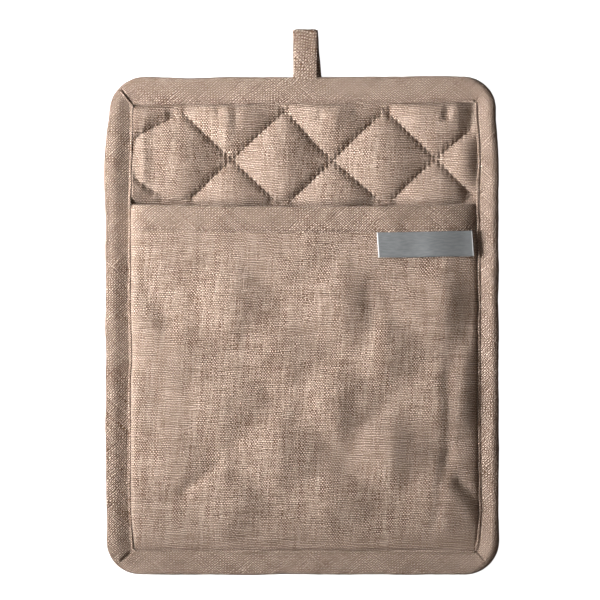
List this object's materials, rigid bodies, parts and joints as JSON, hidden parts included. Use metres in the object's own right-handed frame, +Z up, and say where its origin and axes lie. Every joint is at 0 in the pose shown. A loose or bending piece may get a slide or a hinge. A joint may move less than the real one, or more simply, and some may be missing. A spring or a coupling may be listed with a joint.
{
  "type": "pocket pot holder",
  "caption": "Quilted linen pot holder with bias-bound edge, a hand pocket across its lower part, a blank satin tag and a hanging loop, lying on its back.",
  "frame": {"origin": "middle of the bounding box, loop included, on the surface that the pot holder lies on", "axes": "+X across the pot holder to the picture's right, +Y from its foot towards the hanging loop, +Z up out of the face with the pocket"},
  "size_m": [0.1995, 0.2755, 0.0163],
  "materials": {
    "linen_pad": "taupe plain-weave linen, straight grain, quilted in diamonds",
    "linen_pocket": "taupe plain-weave linen, straight grain, with slubs",
    "linen_band": "taupe linen bias heading with one row of stitches",
    "linen_binding": "taupe linen bias binding with mitred corners and a stitched inner edge",
    "linen_loop": "taupe linen strip cut on the bias",
    "satin_tag": "blank grey satin ribbon with pale selvedges"
  },
  "bodies": {
    "root": {"quilted_pad": "linen_pad", "pocket_panel": "linen_pocket", "pocket_band": "linen_band", "edge_binding": "linen_binding", "hanging_loop": "linen_loop", "sewn_tag": "satin_tag"}
  },
  "joints": []
}
